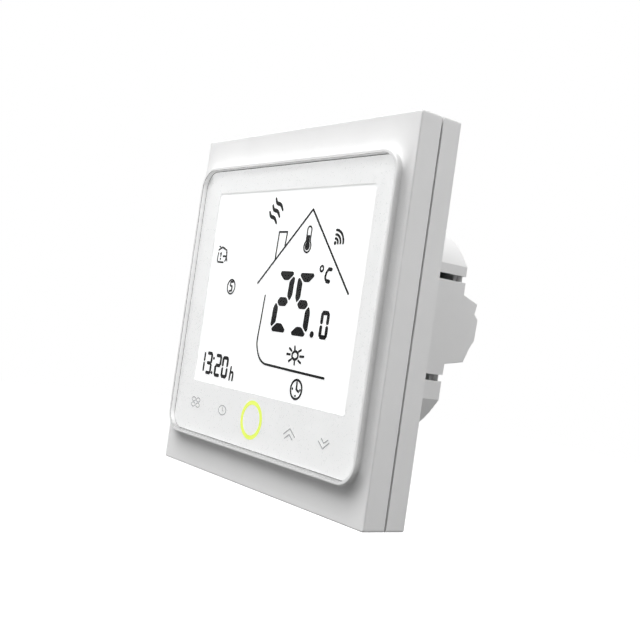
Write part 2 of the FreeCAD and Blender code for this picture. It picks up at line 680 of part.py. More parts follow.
def relay_yoke():
    """Iron core, pole face and L-shaped yoke."""
    x, z = RELAY_COIL
    px, py = ARMATURE_PIVOT
    core = disc_y(x, z, 1.6, POLE_Y, 15.0)
    pole = disc_y(x, z, 3.2, POLE_Y, POLE_Y + 0.6)
    foot = box(x - 2.5, px + 0.5, 14.8, 15.8, z - 3.5, z + 3.5)
    upright = box(px - 0.5, px + 0.5, py + PIVOT_GAP, 15.8, z - 3.5, z + 3.5)
    bead = disc_z(px, py, PIVOT_R, z - 3.5, z + 3.5)
    return fuse([core, pole, foot, upright, bead])


def relay_armature():
    """Iron plate that the coil pulls in, grooved where it rocks on the yoke."""
    z = RELAY_COIL[1]
    plate = box(5.5, 15.9, ARMATURE_Y - 0.8, ARMATURE_Y, z - 3.5, z + 3.5)
    return cut(plate, [disc_z(*ARMATURE_PIVOT, PIVOT_R + PIVOT_GAP, z - 4, z + 4)])


def relay_contact_spring():
    """Leaf spring on the armature with the moving contact on its end."""
    z = RELAY_COIL[1]
    leaf = box(3.2, 14.5, ARMATURE_Y - 1.0, ARMATURE_Y - 0.8, z - 2.0, z + 2.0)
    contact = disc_y(4.2, z, 1.1, ARMATURE_Y - 0.8, ARMATURE_Y - 0.2)
    return fuse([leaf, contact])


def relay_fixed_contact():
    """Fixed contact on its upright terminal."""
    z = RELAY_COIL[1]
    upright = box(2.7, 3.1, 4.6, 15.8, z - 1.8, z + 1.8)
    shelf = box(2.7, 4.7, 4.6, 5.0, z - 1.8, z + 1.8)
    contact = disc_y(4.2, z, 1.0, 4.35, 4.7).common(box(2.7, 5.1, 4, 5, z - 2, z + 2))
    return fuse([upright, shelf, contact])


# ---------------------------------------------------------------- terminals
def terminal_block():
    """Insulating body with one chamber per wire."""
    outline = [(19.2, -4.9), (27.2, -4.9), (28.7, -2.2), (28.7, 6.0), (19.2, 6.0)]
    body = side_prism(outline, -21.6, 21.6)
    tools = []
    for x in terminal_places():
        tools.append(box(x - 2.75, x + 2.75, 23.3, 30, -4.4, 5.5))
        tools.append(disc_z(x, TERMINAL_Y, 1.6, -6, -4))
        tools.append(box(x - 1.75, x + 1.75, 19, 24, BUSBAR_Z[0] - 0.05, BUSBAR_Z[1] + 0.05))
    return cut(body, tools)


def terminal_busbars():
    """Copper contact bars from the board into the clamps."""
    bars = []
    for x in terminal_places():
        bar = box(x - 1.7, x + 1.7, 19.2, 28.2, *BUSBAR_Z)
        tail = box(x - 0.9, x + 0.9, 16.6, 19.4, *BUSBAR_Z)
        bars.append(fuse([bar, tail]))
    return Part.makeCompound(bars)


def terminal_screw(x):
    """Clamp screw with a cross slot, head down."""
    head = disc_z(x, TERMINAL_Y, HEAD_R, -6.3, -5.0)
    head = soften(head, 0.25, lambda edge: abs(edge.BoundBox.ZMax + 6.3) < 1e-4)
    shank = disc_z(x, TERMINAL_Y, SCREW_R, -5.0, -0.15)
    y = TERMINAL_Y
    slots = [box(x - 1.5, x + 1.5, y - 0.3, y + 0.3, -7, -5.7),
             box(x - 0.3, x + 0.3, y - 1.1, y + 1.1, -7, -5.7)]
    return cut(fuse([head, shank]), slots)


def terminal_cage(x):
    """Rising clamp around the contact bar."""
    z0, z1 = CAGE_Z
    y0, y1 = CAGE_Y
    outer = box(x - CAGE_HALF_W, x + CAGE_HALF_W, y0, y1, z0, z1)
    inner_w = CAGE_HALF_W - CAGE_WALL
    hollow = box(x - inner_w, x + inner_w, y0 - 1, y1 + 1, z0 + 1.35, z1 - 0.8)
    return cut(outer, [hollow, disc_z(x, TERMINAL_Y, SCREW_R + 0.05, z0 - 1, z0 + 2)])


# ---------------------------------------------------------------- writing the pieces
def nodes():
    """Every piece by name."""
    pieces = {
        "front_frame": front_frame(),
        "touch_lens": touch_lens(),
        "lens_film": lens_film(),
        "lens_tape": lens_tape(),
        "lcd_glass": lcd_glass(),
        "lcd_polarizers": lcd_polarizers(),
        "lcd_connector": lcd_connector(),
        "backlight_diffuser": backlight_diffuser(),
        "backlight_guide": backlight_guide(),
        "backlight_reflector": backlight_reflector(),
        "backlight_leds": backlight_leds(),
        "lcd_holder": lcd_holder(),
        "control_board": control_board(),
        "main_chip": main_chip(),
        "wifi_board": wifi_board(),
        "wifi_shield": wifi_shield(),
        "touch_pads": touch_pads(),
        "key_light_ring": key_light_ring(),
        "key_leds": key_leds(),
        "room_sensor": room_sensor(),
        "pin_header": pin_header(),
        "plug_pins": plug_pins(),
        "module_back_cover": module_back_cover(),
        "cover_screws": cover_screws(),
        "base_frame": base_frame(),
        "mounting_plate": mounting_plate(),
        "plate_screws": plate_screws(),
        "power_box_shell": power_box_shell(),
        "power_box_lid": power_box_lid(),
        "power_board": power_board(),
        "riser_board": riser_board(),
        "socket_header": socket_header(),
        "transformer_core": transformer_core(),
        "transformer_coil": transformer_coil(),
        "bulk_capacitors": bulk_capacitors(),
        "film_capacitor": film_capacitor(),
        "varistor": varistor(),
        "fuse_link": fuse_link(),
        "relay_case": relay_case(),
        "relay_base": relay_base(),
        "relay_coil": relay_coil(),
        "relay_yoke": relay_yoke(),
        "relay_armature": relay_armature(),
        "relay_contact_spring": relay_contact_spring(),
        "relay_fixed_contact": relay_fixed_contact(),
        "terminal_block": terminal_block(),
        "terminal_busbars": terminal_busbars(),
    }
    for number, x in enumerate(terminal_places(), start=1):
        pieces["terminal_screw_%d" % number] = terminal_screw(x)
        pieces["terminal_cage_%d" % number] = terminal_cage(x)
    return pieces


def main():
    """Build, test and write every piece."""
    os.makedirs(OUT, exist_ok=True)
    for name, shape in nodes().items():
        shape.exportStep(os.path.join(OUT, name + ".step"))
        facts = (name, len(shape.Solids), shape.isValid(), shape.Volume)
        print("%-22s solids %2d valid %s volume %9.2f" % facts)


main()
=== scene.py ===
"""Looks for the flush wall thermostat: finishes for every piece, the display's artwork and the studio.

Everything is in metres in the row frame: +X right seen from the room, +Y into the wall, +Z up.
The display artwork and the key symbols are laid out in millimetres and scaled by MM.
"""

import json
import math

import bmesh
import bpy
from mathutils import Matrix, Vector


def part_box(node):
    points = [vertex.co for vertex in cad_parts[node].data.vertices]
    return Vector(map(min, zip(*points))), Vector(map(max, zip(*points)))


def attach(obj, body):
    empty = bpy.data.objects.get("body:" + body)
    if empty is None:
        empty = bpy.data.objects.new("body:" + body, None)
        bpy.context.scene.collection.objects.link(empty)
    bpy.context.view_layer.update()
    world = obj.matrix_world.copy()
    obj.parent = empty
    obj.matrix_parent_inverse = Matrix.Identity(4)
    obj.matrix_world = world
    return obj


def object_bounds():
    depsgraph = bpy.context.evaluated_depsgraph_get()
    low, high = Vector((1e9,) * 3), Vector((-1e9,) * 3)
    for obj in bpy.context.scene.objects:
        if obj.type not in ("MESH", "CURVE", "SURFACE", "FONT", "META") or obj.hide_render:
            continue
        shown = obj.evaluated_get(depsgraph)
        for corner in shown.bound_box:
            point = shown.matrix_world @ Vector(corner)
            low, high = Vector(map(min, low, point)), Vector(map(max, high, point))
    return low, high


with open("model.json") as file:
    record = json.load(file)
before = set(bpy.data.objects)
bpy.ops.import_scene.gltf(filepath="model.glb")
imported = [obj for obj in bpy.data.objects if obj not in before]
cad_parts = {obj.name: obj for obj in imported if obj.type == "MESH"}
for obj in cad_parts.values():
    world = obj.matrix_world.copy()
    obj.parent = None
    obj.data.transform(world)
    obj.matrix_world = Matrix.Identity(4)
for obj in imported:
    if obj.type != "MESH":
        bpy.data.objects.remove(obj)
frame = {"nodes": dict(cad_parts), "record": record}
CAD_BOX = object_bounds()

MM = 0.001
FRONT = "front_module"
BASE = "wall_base"

# ---------------------------------------------------------------- camera and studio
CAMERA_PLACE = (0.1914, -0.13778, -0.00594)
CAMERA_AZIMUTH = 53.73          # degrees, from straight in front towards +X
CAMERA_ELEVATION = -1.137
CAMERA_ROLL = 8.166
CAMERA_LENS = 54.67             # millimetres
FLOOR_DROP = 0.25               # floor below the lowest point of the thermostat
FLOOR_HALF = 3.0
SOFTBOX_DISTANCE = 1.3
SOFTBOX_SIZE = 0.9
SOFTBOXES = (                   # name, azimuth and elevation in degrees, watts
    ("key_softbox", -45, 50, 11.7),
    ("top_softbox", 0, 65, 8.2),
    ("right_softbox", 45, 60, 7.3),
    ("rear_softbox", 130, 10, 6.9),
    ("back_softbox", 200, 15, 4.0),
    ("left_softbox", -70, 20, 2.4),
    ("front_softbox", 20, 30, 1.9),
    ("low_softbox", -60, -20, 1.3),
)
LIGHT_BELOW = 0.36              # world light from straight below
LIGHT_LEVEL = 0.0               # and from level and above
LIGHT_MIRRORED = 0.45           # what glossy surfaces mirror

# ---------------------------------------------------------------- moulded and stamped marks
NUMBER_SIZE = 0.0028            # font size of the terminal numbers
NUMBER_RELIEF = 0.00015
NUMBER_FACE = ((30.8, 5.4), (31.3, 7.9))    # y, z of the lower and upper edge of their face, millimetres
BOX_BACKS = (                   # name, y of the face and z of its ejector rings, millimetres
    ("upper", 26.3, 20.0),
    ("lower", 23.0, -19.5),
)
COVER_BACK_Y = -2.8             # outer face of the module's back cover, millimetres
MARK_ROOT = 0.02                # how far a mark reaches into the face it stands on, millimetres
BOX_RING_RISE = 0.12
COVER_RING_RISE = 0.10
ARROW_RISE = 0.08

# ---------------------------------------------------------------- material details
CLOUD_CELLS = 55.0              # faint cloudiness of mouldings, cells per metre
GLITTER_CELLS = 3200.0          # fine glitter of the print
GLINT_CELLS = 2600.0            # its flakes, which glow brighter as painted glints
HAZE_CELLS = 900.0              # uneven gloss of the lens
PATCH_CELLS = 130.0             # patches of tracks on the circuit boards
PAD_CELLS = 240.0               # tinned pads on the circuit boards
TRACK_PITCH = 0.0011            # tracks on the circuit boards
WAVE_LENGTH = 0.314             # length of a wave texture's band at scale 1
LENS_CORNER = 0.0046            # corner radius of the touch lens
LENS_IOR = 1.16                 # low, so that gloss hardly veils the print
LENS_TINT = (0.998, 1.0, 0.999, 1.0)
SIDE_WALL_LEAN = 0.35           # largest y of the normal of a side wall
LENS_LOW, LENS_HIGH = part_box("touch_lens")
PAINTED_SHADE_REACH = 0.004              # how far the painted shade in the cove looks for a neighbouring wall
RIM_TIP_Y = LENS_HIGH.y         # in front of this plane, the upper rim lets light through
RIM_TIP_BLEND = 0.00005
RIM_TOP_BLEND = 0.0005
RIM_TOP_Z = LENS_HIGH.z - RIM_TOP_BLEND

# ---------------------------------------------------------------- display artwork, millimetres
PRINT_T = 0.03                  # thickness of the segments and of the key prints
DISPLAY_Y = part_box("lcd_polarizers")[0].y / MM - 0.005
KEYS_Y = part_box("lens_film")[0].y / MM
RING_LOW, RING_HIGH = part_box("key_light_ring")
RING_X = (RING_LOW.x + RING_HIGH.x) / 2 / MM
RING_Z = (RING_LOW.z + RING_HIGH.z) / 2 / MM
RING_R = (RING_HIGH.x - RING_LOW.x) / 2 / MM - 0.4
RING_GLOW_W = 1.0
DIGIT_SLANT = 0.045             # sideways lean of the large digits per millimetre of height
SEGMENTS = {"0": "abcdef", "1": "bc", "2": "abged", "3": "abgcd", "5": "afgcd"}
CAP_STEPS = 4                   # steps in each half of a stroke's round end
LEAST_HALF = 0.004              # least half width at a stroke's tip
WELD_DISTANCE = 1e-8            # metres


# ---------------------------------------------------------------- node helpers
def new_material(name):
    """Material with a lone Principled shader: the material, its node tree and the shader."""
    material = bpy.data.materials.new(name)
    material.use_nodes = True
    tree = material.node_tree
    tree.nodes.clear()
    output = tree.nodes.new("ShaderNodeOutputMaterial")
    shader = tree.nodes.new("ShaderNodeBsdfPrincipled")
    tree.links.new(shader.outputs[0], output.inputs[0])
    return material, tree, shader


def object_coords(tree):
    """Coordinates in metres on the piece, which stay put when it moves."""
    return tree.nodes.new("ShaderNodeTexCoord").outputs["Object"]


def noise(tree, scale, detail=2.0, roughness=0.5, stretch=None):
    """Noise with the given number of cells per metre, stretched along an axis if asked."""
    node = tree.nodes.new("ShaderNodeTexNoise")
    node.inputs["Scale"].default_value = scale
    node.inputs["Detail"].default_value = detail
    node.inputs["Roughness"].default_value = roughness
    coords = object_coords(tree)
    if stretch:
        mapping = tree.nodes.new("ShaderNodeMapping")
        mapping.inputs["Scale"].default_value = stretch
        tree.links.new(coords, mapping.inputs["Vector"])
        coords = mapping.outputs[0]
    tree.links.new(coords, node.inputs["Vector"])
    return node.outputs["Fac"]


def voronoi(tree, scale, distance="EUCLIDEAN"):
    """Voronoi cells with the given number per metre."""
    node = tree.nodes.new("ShaderNodeTexVoronoi")
    node.distance = distance
    node.inputs["Scale"].default_value = scale
    tree.links.new(object_coords(tree), node.inputs["Vector"])
    return node


def ramp(tree, value, stops):
    """Colours over a value; stops are (position, colour)."""
    node = tree.nodes.new("ShaderNodeValToRGB")
    elements = node.color_ramp.elements
    while len(elements) > 1:
        elements.remove(elements[-1])
    elements[0].position = stops[0][0]
    elements[0].color = (*stops[0][1], 1.0)
    for position, colour in stops[1:]:
        elements.new(position).color = (*colour, 1.0)
    tree.links.new(value, node.inputs["Fac"])
    return node.outputs["Color"]


def remap(tree, value, low, high, start=0.0, end=1.0):
    """Value moved from the span start..end to low..high."""
    node = tree.nodes.new("ShaderNodeMapRange")
    node.inputs["From Min"].default_value = start
    node.inputs["From Max"].default_value = end
    node.inputs["To Min"].default_value = low
    node.inputs["To Max"].default_value = high
    tree.links.new(value, node.inputs["Value"])
    return node.outputs["Result"]


def multiply(tree, first, second):
    """Product of two values."""
    node = tree.nodes.new("ShaderNodeMath")
    node.operation = "MULTIPLY"
    tree.links.new(first, node.inputs[0])
    tree.links.new(second, node.inputs[1])
    return node.outputs[0]


def axes_of(tree, vector):
    """The outputs X, Y and Z of a vector."""
    node = tree.nodes.new("ShaderNodeSeparateXYZ")
    tree.links.new(vector, node.inputs[0])
    return node.outputs


def channels_of(tree, colour):
    """The outputs Red, Green and Blue of a colour."""
    node = tree.nodes.new("ShaderNodeSeparateColor")
    tree.links.new(colour, node.inputs[0])
    return node.outputs


def mix_shaders(tree, share, first, second):
    """The first shader where the share is 0 and the second where it is 1."""
    node = tree.nodes.new("ShaderNodeMixShader")
    tree.links.new(share, node.inputs[0])
    tree.links.new(first, node.inputs[1])
    tree.links.new(second, node.inputs[2])
    return node.outputs[0]


def add_bump(tree, shader, height, strength, distance):
    """Surface relief from a height value."""
    node = tree.nodes.new("ShaderNodeBump")
    node.inputs["Strength"].default_value = strength
    node.inputs["Distance"].default_value = distance
    tree.links.new(height, node.inputs["Height"])
    tree.links.new(node.outputs["Normal"], shader.inputs["Normal"])


def shade(colour, factor):
    """A colour made lighter or darker."""
    return tuple(min(1.0, channel * factor) for channel in colour)


# ---------------------------------------------------------------- materials
def moulded_plastic(name, colour, roughness, grain=2600.0, depth=0.00002):
    """Injection-moulded plastic with a fine spark texture and faint cloudiness."""
    material, tree, shader = new_material(name)
    cloud = noise(tree, CLOUD_CELLS, 3.0)
    tone = ramp(tree, cloud, [(0.3, shade(colour, 0.98)), (0.7, shade(colour, 1.02))])
    tree.links.new(tone, shader.inputs["Base Color"])
    fine = noise(tree, grain, 2.0, 0.6)
    dullness = remap(tree, fine, roughness - 0.05, roughness + 0.07, 0.3, 0.7)
    tree.links.new(dullness, shader.inputs["Roughness"])
    add_bump(tree, shader, fine, 0.35, depth)
    return material


def metal(name, colour, roughness, stretch=(1.0, 1.0, 1.0), scale=900.0):
    """Plated or rolled metal; stretch draws the grain out along an axis."""
    material, tree, shader = new_material(name)
    grain = noise(tree, scale, 4.0, 0.6, stretch)
    tone = ramp(tree, grain, [(0.25, shade(colour, 0.88)), (0.75, shade(colour, 1.06))])
    tree.links.new(tone, shader.inputs["Base Color"])
    dullness = remap(tree, grain, roughness - 0.08, roughness + 0.10, 0.25, 0.75)
    tree.links.new(dullness, shader.inputs["Roughness"])
    shader.inputs["Metallic"].default_value = 1.0
    add_bump(tree, shader, grain, 0.25, 0.00001)
    return material


def glitter_print():
    """Pearl white print with fine silver glitter, behind the lens. It glows faintly all over, painted light
    that lifts its brightness, and scattered flakes glow brighter as painted glints.
    """
    material, tree, shader = new_material("glitter_print")
    spark = channels_of(tree, voronoi(tree, GLITTER_CELLS).outputs["Color"])
    base = ramp(tree, spark["Red"], [
        (0.0, (0.84, 0.84, 0.843)), (0.12, (0.90, 0.90, 0.902)), (0.82, (0.93, 0.93, 0.93)),
        (0.92, (0.98, 0.98, 0.98)), (1.0, (1.0, 1.0, 1.0))])
    tree.links.new(base, shader.inputs["Base Color"])
    tree.links.new(remap(tree, spark["Green"], 0.22, 0.55), shader.inputs["Roughness"])
    # painted glow: a faint emission all over, with painted glints on scattered flakes
    pick = channels_of(tree, voronoi(tree, GLINT_CELLS).outputs["Color"])
    painted_glow = ramp(tree, pick["Red"], [
        (0.0, (0.05,) * 3), (0.06, (0.10,) * 3), (0.92, (0.11,) * 3), (0.94, (0.26,) * 3)])
    tree.links.new(painted_glow, shader.inputs["Emission Color"])
    shader.inputs["Emission Strength"].default_value = 1.0
    add_bump(tree, shader, spark["Blue"], 0.12, 0.00005)
    return material


def clear_lens():
    """Clear sheet with frosted side walls."""
    material, tree, shader = new_material("clear_lens")
    tree.nodes.remove(shader)
    output = tree.nodes[0]
    face = tree.nodes.new("ShaderNodeNewGeometry")
    side_wall = tree.nodes.new("ShaderNodeMath")
    side_wall.operation = "COMPARE"
    side_wall.inputs[1].default_value = 0.0
    side_wall.inputs[2].default_value = SIDE_WALL_LEAN
    tree.links.new(axes_of(tree, face.outputs["Normal"])["Y"], side_wall.inputs[0])
    sheet = glossy_sheet(tree, face.outputs["Backfacing"])
    surface = mix_shaders(tree, side_wall.outputs[0], sheet, frosted_wall(tree))
    let_light_through(tree, surface, output)
    return material


def glossy_sheet(tree, backfacing):
    """Front and back of the lens: clear head on, glossier on the outside where it is seen aslant."""
    clear = tree.nodes.new("ShaderNodeBsdfTransparent")
    clear.inputs["Color"].default_value = LENS_TINT
    gloss = tree.nodes.new("ShaderNodeBsdfGlossy")
    tree.links.new(remap(tree, noise(tree, HAZE_CELLS, 3.0), 0.02, 0.07), gloss.inputs["Roughness"])
    fresnel = tree.nodes.new("ShaderNodeFresnel")
    fresnel.inputs["IOR"].default_value = LENS_IOR
    share = multiply(tree, fresnel.outputs[0], remap(tree, backfacing, 1.0, 0.0))
    return mix_shaders(tree, share, clear.outputs[0], gloss.outputs[0])


def frosted_wall(tree):
    """Side walls of the lens, painted to carry the print's brightness: a painted glow, strongest on the
    left wall, and painted shade on the lower wall.
    """
    place = axes_of(tree, object_coords(tree))
    from_left = remap(tree, place["X"], 0.0, 1.0, LENS_LOW.x, LENS_LOW.x + LENS_CORNER)
    from_below = remap(tree, place["Z"], 0.0, 1.0, LENS_LOW.z, LENS_LOW.z + LENS_CORNER)
    diffuse = tree.nodes.new("ShaderNodeBsdfDiffuse")
    # painted shade: the lower wall is darker
    tone = ramp(tree, from_below, [(0.1, (0.36,) * 3), (0.6, (0.9,) * 3)])
    tree.links.new(tone, diffuse.inputs["Color"])
    glow = tree.nodes.new("ShaderNodeEmission")
    # painted glow, strongest on the left wall
    light = ramp(tree, from_left, [(0.1, (0.26,) * 3), (0.8, (0.10,) * 3)])
    tree.links.new(light, glow.inputs["Color"])
    both = tree.nodes.new("ShaderNodeAddShader")
    tree.links.new(diffuse.outputs[0], both.inputs[0])
    tree.links.new(glow.outputs[0], both.inputs[1])
    return both.outputs[0]


def let_light_through(tree, surface, output, zone=None):
    """Passes light on its way to a lamp, everywhere or where the zone value is 1."""
    clear = tree.nodes.new("ShaderNodeBsdfTransparent")
    share = tree.nodes.new("ShaderNodeLightPath").outputs["Is Shadow Ray"]
    if zone:
        share = multiply(tree, share, zone)
    tree.links.new(mix_shaders(tree, share, surface, clear.outputs[0]), output.inputs[0])


def frame_plastic():
    """White plastic of the front frame, with painted shade down in the cove beside the rim.

    The tip of the upper rim lets light through, so that it throws no dark band on the print.
    """
    material = moulded_plastic("white_plastic", (0.90, 0.90, 0.898), 0.38)
    tree = material.node_tree
    shader = next(node for node in tree.nodes if node.type == "BSDF_PRINCIPLED")
    output = next(node for node in tree.nodes if node.type == "OUTPUT_MATERIAL")
    cloud = shader.inputs["Base Color"].links[0].from_socket
    tree.links.new(deeper_in_hollows(tree, cloud), shader.inputs["Base Color"])
    place = axes_of(tree, object_coords(tree))
    tip = remap(tree, place["Y"], 1.0, 0.0, RIM_TIP_Y - RIM_TIP_BLEND, RIM_TIP_Y)
    upper = remap(tree, place["Z"], 0.0, 1.0, RIM_TOP_Z - RIM_TOP_BLEND, RIM_TOP_Z)
    let_light_through(tree, shader.outputs[0], output, multiply(tree, tip, upper))
    return material


def deeper_in_hollows(tree, colour):
    """The colour, darkened as painted shade where walls stand close to one another."""
    hollow = tree.nodes.new("ShaderNodeAmbientOcclusion")
    hollow.samples = 8
    hollow.inputs["Distance"].default_value = PAINTED_SHADE_REACH
    tone = tree.nodes.new("ShaderNodeMix")
    tone.data_type = "RGBA"
    tone.blend_type = "MULTIPLY"
    tone.inputs[0].default_value = 1.0
    tree.links.new(colour, tone.inputs["A"])
    # painted shade: darker where the occlusion finds walls close by
    painted_shade_ramp = ramp(tree, hollow.outputs["AO"], [(0.35, (0.56, 0.56, 0.56)), (0.92, (1.0, 1.0, 1.0))])
    tree.links.new(painted_shade_ramp, tone.inputs["B"])
    return tone.outputs["Result"]


def lit_display():
    """White backlit face of the display, a little uneven as the light guide leaves it."""
    material, tree, shader = new_material("lit_display")
    glow = noise(tree, 35.0, 1.0)
    tone = ramp(tree, glow, [(0.3, (0.90, 0.905, 0.91)), (0.7, (0.93, 0.93, 0.93))])
    tree.links.new(tone, shader.inputs["Base Color"])
    tree.links.new(tone, shader.inputs["Emission Color"])
    shader.inputs["Emission Strength"].default_value = 0.35
    shader.inputs["Roughness"].default_value = 0.5
    return material


def lit_ring():
    """Yellow-green light behind the middle key."""
    material, tree, shader = new_material("ring_acrylic")
    glow = noise(tree, 260.0, 1.0)
    tone = ramp(tree, glow, [(0.3, (0.42, 0.60, 0.05)), (0.7, (0.48, 0.64, 0.07))])
    light = ramp(tree, glow, [(0.3, (0.86, 0.90, 0.10)), (0.7, (0.94, 0.95, 0.14))])
    tree.links.new(tone, shader.inputs["Base Color"])
    tree.links.new(light, shader.inputs["Emission Color"])
    shader.inputs["Emission Strength"].default_value = 0.5
    shader.inputs["Roughness"].default_value = 0.35
    return material


def printed_ink(name, grain, dark, light, roughness, specular):
    """Print with a slightly uneven tone."""
    material, tree, shader = new_material(name)
    tone = ramp(tree, noise(tree, grain, 2.0), [(0.3, dark), (0.7, light)])
    tree.links.new(tone, shader.inputs["Base Color"])
    shader.inputs["Roughness"].default_value = roughness
    shader.inputs["Specular IOR Level"].default_value = specular
    return material


def track_lines(tree, direction):
    """Parallel tracks across a board, 1 on a track and 0 between tracks."""
    lines = tree.nodes.new("ShaderNodeTexWave")
    lines.bands_direction = direction
    lines.inputs["Scale"].default_value = WAVE_LENGTH / TRACK_PITCH
    tree.links.new(object_coords(tree), lines.inputs["Vector"])
    return remap(tree, lines.outputs["Fac"], 0.0, 1.0, 0.62, 0.74)


def track_patches(tree):
    """Patches of tracks that run across or up the board, with bare patches between them."""
    chance = channels_of(tree, voronoi(tree, PATCH_CELLS, "CHEBYCHEV").outputs["Color"])
    turned = tree.nodes.new("ShaderNodeMix")
    tree.links.new(remap(tree, chance["Red"], 0.0, 1.0, 0.49, 0.51), turned.inputs[0])
    tree.links.new(track_lines(tree, "X"), turned.inputs[2])
    tree.links.new(track_lines(tree, "Z"), turned.inputs[3])
    return multiply(tree, turned.outputs[0], remap(tree, chance["Green"], 0.0, 1.0, 0.39, 0.41))


def circuit_board(name, colour):
    """Solder mask over copper tracks, with tinned pads."""
    material, tree, shader = new_material(name)
    tracks = track_patches(tree)
    tinned = remap(tree, voronoi(tree, PAD_CELLS).outputs["Distance"], 1.0, 0.0, 0.13, 0.15)
    tone = tree.nodes.new("ShaderNodeMix")
    tone.data_type = "RGBA"
    tone.inputs["B"].default_value = (0.72, 0.72, 0.70, 1.0)
    tree.links.new(tinned, tone.inputs[0])
    mask = ramp(tree, tracks, [(0.0, shade(colour, 0.85)), (1.0, shade(colour, 1.5))])
    tree.links.new(mask, tone.inputs["A"])
    tree.links.new(tone.outputs["Result"], shader.inputs["Base Color"])
    tree.links.new(remap(tree, tinned, 0.0, 0.85), shader.inputs["Metallic"])
    shader.inputs["Roughness"].default_value = 0.3
    add_bump(tree, shader, tracks, 0.3, 0.00004)
    return material


PLASTICS = {                    # material slot and its look
    "base_plastic": dict(colour=(0.90, 0.90, 0.898), roughness=0.42),
    "box_plastic": dict(colour=(0.87, 0.87, 0.868), roughness=0.50, grain=1700.0, depth=0.00004),
    "holder_plastic": dict(colour=(0.86, 0.86, 0.85), roughness=0.45),
    "white_sheet": dict(colour=(0.90, 0.90, 0.90), roughness=0.6, grain=4000.0),
    "tape": dict(colour=(0.03, 0.03, 0.03), roughness=0.8, grain=5000.0),
    "connector_rubber": dict(colour=(0.45, 0.50, 0.56), roughness=0.6),
    "lamp": dict(colour=(0.90, 0.84, 0.45), roughness=0.3),
    "chip_plastic": dict(colour=(0.022, 0.022, 0.024), roughness=0.5, grain=3500.0),
    "foam": dict(colour=(0.05, 0.05, 0.055), roughness=0.9, grain=2000.0, depth=0.0001),
    "sensor": dict(colour=(0.03, 0.03, 0.03), roughness=0.25),
    "header_plastic": dict(colour=(0.02, 0.02, 0.02), roughness=0.45),
    "ferrite": dict(colour=(0.055, 0.055, 0.06), roughness=0.55, grain=3000.0, depth=0.00005),
    "coil_tape": dict(colour=(0.80, 0.55, 0.04), roughness=0.3),
    "can_sleeve": dict(colour=(0.015, 0.035, 0.12), roughness=0.28),
    "film_box": dict(colour=(0.75, 0.48, 0.05), roughness=0.35),
    "varistor_blue": dict(colour=(0.02, 0.12, 0.42), roughness=0.3),
    "fuse_body": dict(colour=(0.03, 0.03, 0.032), roughness=0.4),
    "relay_blue": dict(colour=(0.015, 0.09, 0.33), roughness=0.35),
    "relay_black": dict(colour=(0.02, 0.02, 0.02), roughness=0.45),
    "terminal_nylon": dict(colour=(0.03, 0.17, 0.065), roughness=0.45),
    "display_glass": dict(colour=(0.70, 0.73, 0.74), roughness=0.08, depth=0.000002),
    "light_guide": dict(colour=(0.88, 0.90, 0.92), roughness=0.15, grain=900.0),
}
METALS = {
    "tin_can": dict(colour=(0.72, 0.72, 0.73), roughness=0.32, stretch=(1, 1, 12)),
    "gold_pin": dict(colour=(0.83, 0.62, 0.24), roughness=0.22),
    "screw_steel": dict(colour=(0.68, 0.68, 0.70), roughness=0.30, scale=1500.0),
    "plate_steel": dict(colour=(0.66, 0.67, 0.69), roughness=0.36, stretch=(1, 1, 0.06), scale=1400.0),
    "copper_wire": dict(
        colour=(0.72, 0.30, 0.12), roughness=0.28, stretch=(0.05, 1, 0.05), scale=2500.0),
    "relay_iron": dict(colour=(0.55, 0.55, 0.56), roughness=0.40),
    "spring_bronze": dict(colour=(0.75, 0.46, 0.22), roughness=0.30),
    "tinned_copper": dict(colour=(0.76, 0.70, 0.60), roughness=0.34),
    "clamp_steel": dict(colour=(0.70, 0.69, 0.66), roughness=0.34, stretch=(0.2, 1, 1)),
}
MATERIALS = {
    "white_plastic": frame_plastic(),
    "glitter_print": glitter_print(),
    "clear_lens": clear_lens(),
    "polarizer": lit_display(),
    "ring_acrylic": lit_ring(),
    "circuit_board": circuit_board("circuit_board", (0.015, 0.12, 0.045)),
    "radio_board": circuit_board("radio_board", (0.012, 0.04, 0.15)),
}
MATERIALS.update((name, moulded_plastic(name, **look)) for name, look in PLASTICS.items())
MATERIALS.update((name, metal(name, **look)) for name, look in METALS.items())
DARK_INK = printed_ink("segment_ink", 1800.0, (0.0015, 0.0015, 0.002), (0.004, 0.004, 0.005), 0.6, 0.1)
KEY_INK = printed_ink("key_ink", 1500.0, (0.40, 0.40, 0.41), (0.47, 0.47, 0.48), 0.5, 0.5)


def finish_cad_nodes():
    """Every CAD node takes the material of its slot in the record."""
    for part in frame["record"]["subparts"]:
        material = MATERIALS[part["material_slot"]]
        node = frame["nodes"][part["node"]]
        node.data.materials.clear()
        node.data.materials.append(material)


# ---------------------------------------------------------------- flat artwork
def add_slab(bm, outline, front, back):
    """Closed flat solid from an outline of (x, z) millimetres between two y planes."""
    near = [bm.verts.new((x * MM, front * MM, z * MM)) for x, z in outline]
    far = [bm.verts.new((x * MM, back * MM, z * MM)) for x, z in outline]
    bm.faces.new(near)
    bm.faces.new(far[::-1])
    count = len(outline)
    for index in range(count):
        following = (index + 1) % count
        bm.faces.new((near[following], near[index], far[index], far[following]))


def add_band(bm, left, right, front, back, closed):
    """Closed solid strip between two rails of (x, z) millimetres."""
    rails = [[bm.verts.new((x * MM, y * MM, z * MM)) for x, z in rail]
             for y in (front, back) for rail in (left, right)]
    near_left, near_right, far_left, far_right = rails
    count = len(left)
    for index in range(count if closed else count - 1):
        following = (index + 1) % count
        for a, b in ((near_left, near_right), (far_right, far_left), (near_right, far_right),
                     (far_left, near_left)):
            bm.faces.new((a[index], b[index], b[following], a[following]))
    if not closed:
        bm.faces.new((near_left[0], far_left[0], far_right[0], near_right[0]))
        bm.faces.new((near_left[-1], near_right[-1], far_right[-1], far_left[-1]))


